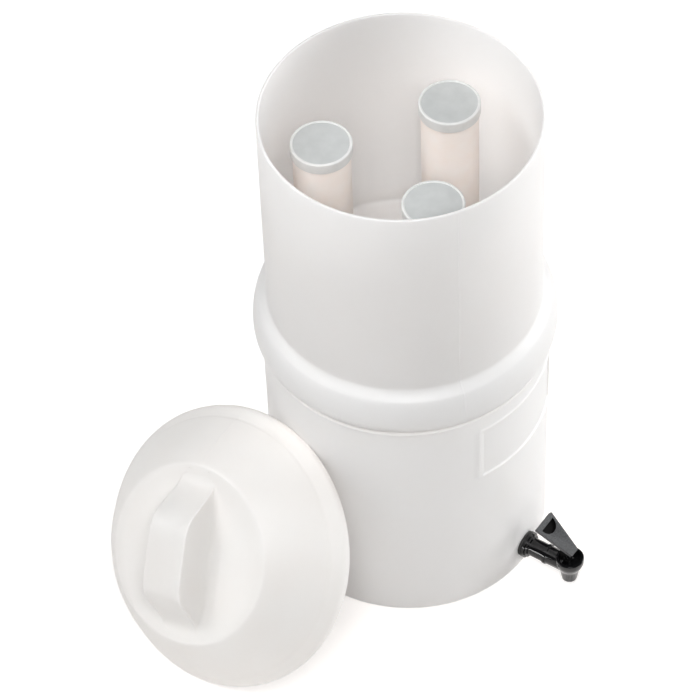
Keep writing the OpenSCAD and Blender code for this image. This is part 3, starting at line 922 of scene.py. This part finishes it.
def oval(half_l, half_w, power):
    """Points of a superellipse and the directions that lead straight out of it."""
    points = []
    for turn in LID_TURNS:
        c, s = math.cos(turn), math.sin(turn)
        reach = (abs(c) ** power + abs(s) ** power) ** (-1 / power)
        x, y = c * reach, s * reach
        out = Vector((math.copysign(abs(x) ** (power - 1), x) / half_l,
                      math.copysign(abs(y) ** (power - 1), y) / half_w, 0))
        points.append((Vector((half_l * x, half_w * y, 0)), out.normalized()))
    return points


def grip_height(x, inset):
    """Height of the grip's band at x, or of its inner face when inset is the wall."""
    x = abs(x)
    knee, foot = GRIP_KNEE_R - inset, GRIP_FOOT_R + inset
    knee_z, foot_z = GRIP_TOP - GRIP_KNEE_R, LAND_H + GRIP_FOOT_R
    knee_end = GRIP_LEVEL + knee * math.sin(GRIP_SLOPE)
    foot_start = GRIP_FOOT_X - foot * math.sin(GRIP_SLOPE)
    if x <= GRIP_LEVEL:
        return GRIP_TOP - inset
    if x <= knee_end:
        return knee_z + math.sqrt(knee ** 2 - (x - GRIP_LEVEL) ** 2)
    if x >= GRIP_FOOT_X:
        return LAND_H - inset
    if x >= foot_start:
        return foot_z - math.sqrt(foot ** 2 - (GRIP_FOOT_X - x) ** 2)
    return between(knee_z + knee * math.cos(GRIP_SLOPE), foot_z - foot * math.cos(GRIP_SLOPE),
                   (x - knee_end) / (foot_start - knee_end))


def grip_rings(inset=0.0):
    """Rings of the grip from the middle of its band down to the land."""
    land = LAND_H - inset
    outline = oval(GRIP_HALF_L - inset, GRIP_HALF_W - inset, GRIP_SQUARE)
    rings = [[Vector((0, 0, GRIP_TOP - inset))]]
    for part in GRIP_BAND:
        ring = []
        for point, out in outline:
            x, y = point.x * part, point.y * part
            crown = GRIP_CROWN * (y / GRIP_HALF_W) ** 2
            ring.append(Vector((x, y, grip_height(x, inset) - crown)))
        rings.append(ring)
    edge = max(GRIP_EDGE_R - inset, GRIP_LEAST_EDGE)
    for angle in GRIP_EDGE:
        lean = math.radians(angle)
        ring = []
        for point, out in outline:
            place = point - out * edge * (1 - math.sin(lean))
            top = grip_height(place.x, inset) - GRIP_CROWN * (place.y / GRIP_HALF_W) ** 2
            drop = min(edge, GRIP_EDGE_SHARE * max(top - land, 0)) * (1 - math.cos(lean))
            ring.append(Vector((place.x, place.y, top - drop)))
        rings.append(ring)
    below = [point.z for point in rings[-1]]
    for left, away, share in GRIP_WALL:
        ring = []
        for k, (point, out) in enumerate(outline):
            rise = max(below[k] - land, 0)
            pinch = GRIP_PINCH * share * min(rise / GRIP_PINCH_RISE, 1)
            spread = away * (1 - GRIP_END_STEEP * abs(out.x))
            place = point + out * (spread * MM - pinch)
            ring.append(Vector((place.x, place.y, land + rise * left)))
        rings.append(ring)
    return rings


def between(a, b, t):
    return a + (b - a) * t


def mixed_ring(first, second, t):
    return [p.lerp(q, t) for p, q in zip(first, second)]


def dome_profile():
    """Radius and height from the land's edge over the dome to the rim."""
    points = [(LAND_R, LAND_H)]
    start = (LAND_R + 2 * MM, LAND_H - 1 * MM)
    stop = (LID_CREASE_R, LID_CREASE_H + 0.8 * MM)
    length = math.hypot(stop[0] - start[0], stop[1] - start[1])
    normal = ((start[1] - stop[1]) / length, (stop[0] - start[0]) / length)
    for k in range(DOME_STEPS + 1):
        t = k / DOME_STEPS
        lift = 4 * DOME_BULGE * t * (1 - t)
        points.append((between(start[0], stop[0], t) + normal[0] * lift,
                       between(start[1], stop[1], t) + normal[1] * lift))
    points += [
        (LID_CREASE_R + 0.2 * MM, LID_CREASE_H),
        (LID_CREASE_R + 1.2 * MM, LID_CREASE_H - 1.2 * MM),
        (LID_R - 5 * MM, LID_EDGE_H + 8 * MM),
        (LID_R - 2.2 * MM, LID_EDGE_H + 5 * MM),
        (LID_R - 0.6 * MM, LID_EDGE_H + 2 * MM),
        (LID_R, LID_EDGE_H - 0.5 * MM),
        (LID_R, LID_EDGE_ROUND + 1 * MM),
        (LID_R, LID_EDGE_ROUND),
        (LID_R - 0.35 * MM, 0.5 * LID_EDGE_ROUND),
        (LID_R - LID_EDGE_ROUND, 0),
    ]
    return points


def circle(radius, height, seam=0.0):
    """Ring of points; seam is the height of the parting line's ridge."""
    ring = []
    for turn in LID_TURNS:
        away = abs(math.sin(turn)) * radius
        reach = radius + seam * math.exp(-(away / SEAM_WIDTH) ** 2)
        ring.append(Vector((reach * math.cos(turn), reach * math.sin(turn), height)))
    return ring


def lid_placing():
    """Where the lid leans on the lower container, turned so that its grip slants."""
    turn = Matrix.Rotation(LID_FACE, 4, "Z") @ Matrix.Rotation(math.pi / 2 - LID_LEAN, 4, "Y")
    return Matrix.Translation(LID_CENTRE) @ turn @ Matrix.Rotation(LID_SPIN, 4, "Z")


def land_rings(foot, inset):
    """Rings from the grip's foot out over the flat land to the dome."""
    edge = circle(LAND_R, LAND_H - inset)
    return [mixed_ring(foot, edge, part) for part in LAND_PARTS]


def dome_inside(profile):
    """The dome's profile moved in by the wall."""
    points = []
    for before, point, after in zip(profile, profile[1:], profile[2:]):
        across = Vector((after[0] - before[0], after[1] - before[1])).normalized()
        radius = point[0] + across.y * WALL
        height = point[1] - across.x * WALL
        lower = not points or height < points[-1][1]
        if lower and height > LID_EDGE_ROUND and radius > LAND_R - 2 * MM:
            points.append((min(radius, LID_R - WALL), height))
    return points


def lid_moulding(material):
    """The hollow lid with its moulded grip, leaning where it stands."""
    profile = dome_profile()
    grip = grip_rings()
    outer = grip + land_rings(grip[-1], 0.0)
    outer += [circle(radius, height, LID_SEAM_HEIGHT) for radius, height in profile[1:]]
    grip = grip_rings(WALL)
    inner = grip + land_rings(grip[-1], WALL)
    inner += [circle(radius, height) for radius, height in dome_inside(profile)]
    lip = [circle(LID_R - WALL + LID_EDGE_ROUND, 0),
           circle(LID_R - WALL + 0.3 * MM, 0.5 * LID_EDGE_ROUND)]
    verts, faces = loft(outer + lip + inner[::-1])
    piece = new_object("lid_moulding", verts, faces, material)
    piece.data.transform(lid_placing())
    return piece


# ---------------------------------------------------------------- studio

def maths(tree, operation, first, second):
    """Result of a Math node on two values."""
    node = tree.nodes.new("ShaderNodeMath")
    node.operation = operation
    tree.links.new(first, node.inputs[0])
    tree.links.new(second, node.inputs[1])
    return node.outputs[0]


def floor_paint():
    """Pale paint that keeps the shadow.

    The camera sees it white where the lamps light it, and by its glow further out."""
    material = bpy.data.materials.new("floor_paint")
    material.use_nodes = True
    tree = material.node_tree
    nodes, links = tree.nodes, tree.links
    nodes.clear()
    paint = nodes.new("ShaderNodeBsdfDiffuse")
    paint.inputs["Color"].default_value = (*STAGE_WHITE, 1.0)
    light = nodes.new("ShaderNodeEmission")
    rays = nodes.new("ShaderNodeLightPath")
    seen = maths(tree, "MAXIMUM", rays.outputs["Is Camera Ray"], rays.outputs["Is Glossy Ray"])
    seen = maths(tree, "MAXIMUM", seen, rays.outputs["Is Transmission Ray"])
    place = nodes.new("ShaderNodeTexCoord")
    away = nodes.new("ShaderNodeVectorMath")
    away.operation = "LENGTH"
    links.new(place.outputs["Object"], away.inputs[0])
    fade = nodes.new("ShaderNodeMapRange")
    fade.inputs["From Min"].default_value = STAGE_NEAR
    fade.inputs["From Max"].default_value = STAGE_FAR
    fade.inputs["To Min"].default_value = STAGE_GLOW
    fade.inputs["To Max"].default_value = 1.0
    links.new(away.outputs["Value"], fade.inputs["Value"])
    level = maths(tree, "MULTIPLY", seen, fade.outputs["Result"])
    links.new(level, light.inputs["Strength"])
    both = nodes.new("ShaderNodeAddShader")
    links.new(paint.outputs[0], both.inputs[0])
    links.new(light.outputs[0], both.inputs[1])
    out = nodes.new("ShaderNodeOutputMaterial")
    links.new(both.outputs[0], out.inputs["Surface"])
    return material


def floor():
    corners = [(x * STAGE_HALF, y * STAGE_HALF, -STAGE_DROP)
               for x, y in ((-1, -1), (1, -1), (1, 1), (-1, 1))]
    piece = new_object("studio_floor", corners, [(0, 1, 2, 3)], floor_paint())


def world():
    """Even soft light; the camera sees plain white."""
    surround = bpy.data.worlds.new("studio")
    surround.use_nodes = True
    nodes, links = surround.node_tree.nodes, surround.node_tree.links
    soft = nodes["Background"]
    soft.inputs["Color"].default_value = (1.0, 1.0, 1.0, 1.0)
    soft.inputs["Strength"].default_value = ROOM_LIGHT
    white = nodes.new("ShaderNodeBackground")
    white.inputs["Strength"].default_value = 1.0
    rays = nodes.new("ShaderNodeLightPath")
    pick = nodes.new("ShaderNodeMixShader")
    links.new(rays.outputs["Is Camera Ray"], pick.inputs["Fac"])
    links.new(soft.outputs[0], pick.inputs[1])
    links.new(white.outputs[0], pick.inputs[2])
    links.new(pick.outputs[0], nodes["World Output"].inputs["Surface"])
    bpy.context.scene.world = surround


def hang(data, place, target):
    """Puts a lamp in its place, turned to what it lights."""
    light = bpy.data.objects.new(data.name, data)
    light.location = place
    light.rotation_euler = (target - place).to_track_quat("-Z", "Y").to_euler()
    bpy.context.scene.collection.objects.link(light)


def box(name, place, target, size, power):
    data = bpy.data.lights.new(name, "AREA")
    data.shape = "RECTANGLE"
    data.size, data.size_y = size, size
    data.energy = power
    hang(data, place, target)


def spot(name, place, target, degrees, radius, power):
    """Narrow lamp for one part of the object."""
    data = bpy.data.lights.new(name, "SPOT")
    data.energy = power
    data.spot_size = math.radians(degrees)
    data.spot_blend = SPOT_BLEND
    data.shadow_soft_size = radius
    hang(data, place, target)


def view_axes():
    """The camera's directions to the right, up and ahead."""
    ahead = Vector((math.sin(VIEW_YAW) * math.cos(VIEW_PITCH),
                    math.cos(VIEW_YAW) * math.cos(VIEW_PITCH),
                    -math.sin(VIEW_PITCH)))
    level = Vector((math.cos(VIEW_YAW), -math.sin(VIEW_YAW), 0))
    above = level.cross(ahead)
    right = level * math.cos(VIEW_ROLL) + above * math.sin(VIEW_ROLL)
    up = above * math.cos(VIEW_ROLL) - level * math.sin(VIEW_ROLL)
    return right, up, ahead


def camera():
    right, up, ahead = view_axes()
    data = bpy.data.cameras.new("camera")
    data.sensor_width = SENSOR
    data.lens = LENS
    data.clip_start, data.clip_end = CLIP_NEAR, CLIP_FAR
    eye = bpy.data.objects.new("camera", data)
    facing = Matrix((right, up, -ahead)).transposed().to_4x4()
    eye.matrix_world = Matrix.Translation(VIEW_POINT) @ facing
    bpy.context.scene.collection.objects.link(eye)
    bpy.context.scene.camera = eye


def studio():
    """Standard view, the lamps round the object, the world, the floor and the camera."""
    bpy.context.scene.view_settings.view_transform = "Standard"
    right, _, ahead = view_axes()
    side = Vector((right.x, right.y, 0)).normalized()
    front = Vector((-ahead.x, -ahead.y, 0)).normalized()

    def stepped(start, across, forwards, rise):
        return start + side * across + front * forwards + Vector((0, 0, rise))

    for name, (across, forwards, rise, size, power) in BOXES.items():
        place = stepped(OBJECT_MIDDLE, across, forwards, rise)
        box(name, place, OBJECT_MIDDLE, size, power)
    targets = {
        "candle_spot": Vector((0, 0, 0.475)) - front * 0.02,
        "ceramic_spot": Vector((CANDLE_PITCH, 0, 0.46)),
        "tap_spot": Vector((0, SPOUT_Y + 15 * MM, TAP_Z)),
    }
    for name, (across, forwards, rise, degrees, radius, power) in SPOTS.items():
        target = targets[name]
        spot(name, stepped(target, across, forwards, rise), target, degrees, radius, power)
    world()
    floor()
    camera()


# ---------------------------------------------------------------- build

shell = polyethylene("white_polyethylene", 0.010)
collar_shell = polyethylene("collar_polyethylene", 0.0055)
dense_shell = polyethylene("dense_white_polyethylene", 0.003)
# painted shade: the lid's white is a darker copy of the polyethylene, standing in for the shade
# on the lid
lid_shell_painted_shade = polyethylene("lid_polyethylene_painted_shade", 0.004, (0.922, 0.892, 0.868), (0.935, 0.910, 0.890))
ceramic = fired_ceramic()
cap = satin_cap()
cap_rim_highlight = milky_cap_with_painted_highlight()
tap_black = black_tap_plastic()
# painted shade for the lever's hollow and underside
hollow_painted_shade = painted_shade_black_plastic()
# painted sheen on the lever's plate
lever_painted_sheen = lever_plastic_painted_sheen()
rubber = soft_rubber()
steel = bright_steel()

FINISH_OF = {
    "lower_container": dense_shell,
    "upper_container": shell,
    "lid": lid_shell_painted_shade,
    "tap_body": tap_black,
    "tap_lever": lever_painted_sheen,
    "tap_lock_nut": tap_black,
    "tap_bonnet": tap_black,
    "tap_valve_stem": tap_black,
    "tap_outer_washer": rubber,
    "tap_inner_washer": rubber,
    "tap_valve_seal": rubber,
    "tap_lever_pin": tap_black,
    "tap_spring": steel,
}
for n in (1, 2, 3):
    FINISH_OF[f"candle_{n}_ceramic"] = ceramic
    FINISH_OF[f"candle_{n}_top_cap"] = cap
    FINISH_OF[f"candle_{n}_base"] = cap
    FINISH_OF[f"candle_{n}_washer"] = rubber
    FINISH_OF[f"candle_{n}_wing_nut"] = cap

for name, material in FINISH_OF.items():
    for slot in frame["nodes"][name].material_slots:
        slot.material = material

upper = upper_moulding(shell, collar_shell)
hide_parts("upper_container")
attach(upper, "upper_unit")

lower = lower_moulding(dense_shell)
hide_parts("lower_container")
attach(lower, "base")

for n in (1, 2, 3):
    top = top_cap(n, cap_rim_highlight, cap)
    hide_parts(f"candle_{n}_top_cap")
    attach(top, "upper_unit")

# Tap pieces with rounded edges: body, slot, finish, width of the rounding
SOFT_EDGES = {
    "tap_body": ("base", "tap", tap_black, 0.45 * MM),
    "tap_bonnet": ("base", "tap", tap_black, 0.2 * MM),
    "tap_lock_nut": ("base", "tap", tap_black, 0.5 * MM),
    "tap_lever": ("lever", "tap", lever_painted_sheen, 0.3 * MM),
}
for node, (body, slot, material, width) in SOFT_EDGES.items():
    piece = softened(node, material, width)
    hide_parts(node)
    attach(piece, body)
    if node == "tap_lever":
        paint_hollow_shade(piece, hollow_painted_shade)

winding = coil_tree()
spring_foot = Matrix.Translation((0, SPOUT_Y, SPRING_Z + SPRING_WIRE))
spring = coil("spring_wire", winding, spring_foot, steel,
              SPRING_TURNS, SPRING_R, SPRING_H - 2 * SPRING_WIRE, SPRING_WIRE, SPRING_SIDES)
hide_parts("tap_spring")
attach(spring, "valve")
for n in (1, 2, 3):
    stem_foot = Matrix.Translation((*candle_place(n), STEM_LOW + THREAD_START))
    thread = coil(f"stem_thread_{n}", winding, stem_foot, cap,
                  THREAD_TURNS, STEM_R - THREAD_SINK, THREAD_LENGTH, THREAD_RIDGE, THREAD_SIDES)
    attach(thread, "upper_unit")

lid = lid_moulding(lid_shell_painted_shade)
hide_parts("lid")
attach(lid, "loose_lid")

studio()
